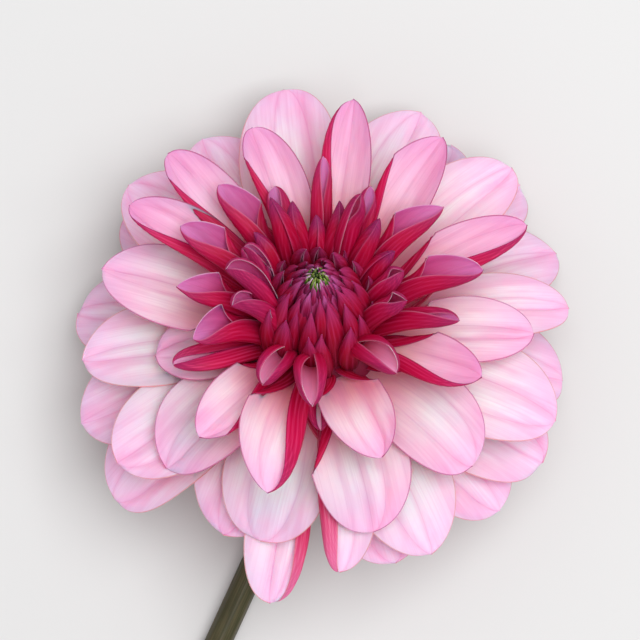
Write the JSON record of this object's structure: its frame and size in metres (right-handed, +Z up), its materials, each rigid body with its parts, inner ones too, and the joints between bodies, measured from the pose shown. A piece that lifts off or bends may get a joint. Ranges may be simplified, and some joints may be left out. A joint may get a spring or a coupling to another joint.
{
  "type": "cut dahlia flower",
  "caption": "Open double dahlia flower with layered cupped petals, a closed crimson heart and a short cut stem, lying on a surface.",
  "frame": {"origin": "on the surface that the flower lies on, under the middle of its bounding box", "axes": "+Z up from the surface, +Y from the cut end of the stem towards the flower head, which faces up and leans a little towards +Y"},
  "size_m": [0.1182, 0.1795, 0.0639],
  "materials": {
    "petal": "soft satin, pale pink faces with crimson backs",
    "closed_floret": "soft satin crimson",
    "green_floret": "fresh green",
    "bract": "fleshy leaf green",
    "stem": "matt green stained with brown"
  },
  "bodies": {
    "root": {"bloom": "petal", "heart": "closed_floret", "eye": "green_floret", "calyx": "bract", "stem": "stem"}
  },
  "joints": []
}
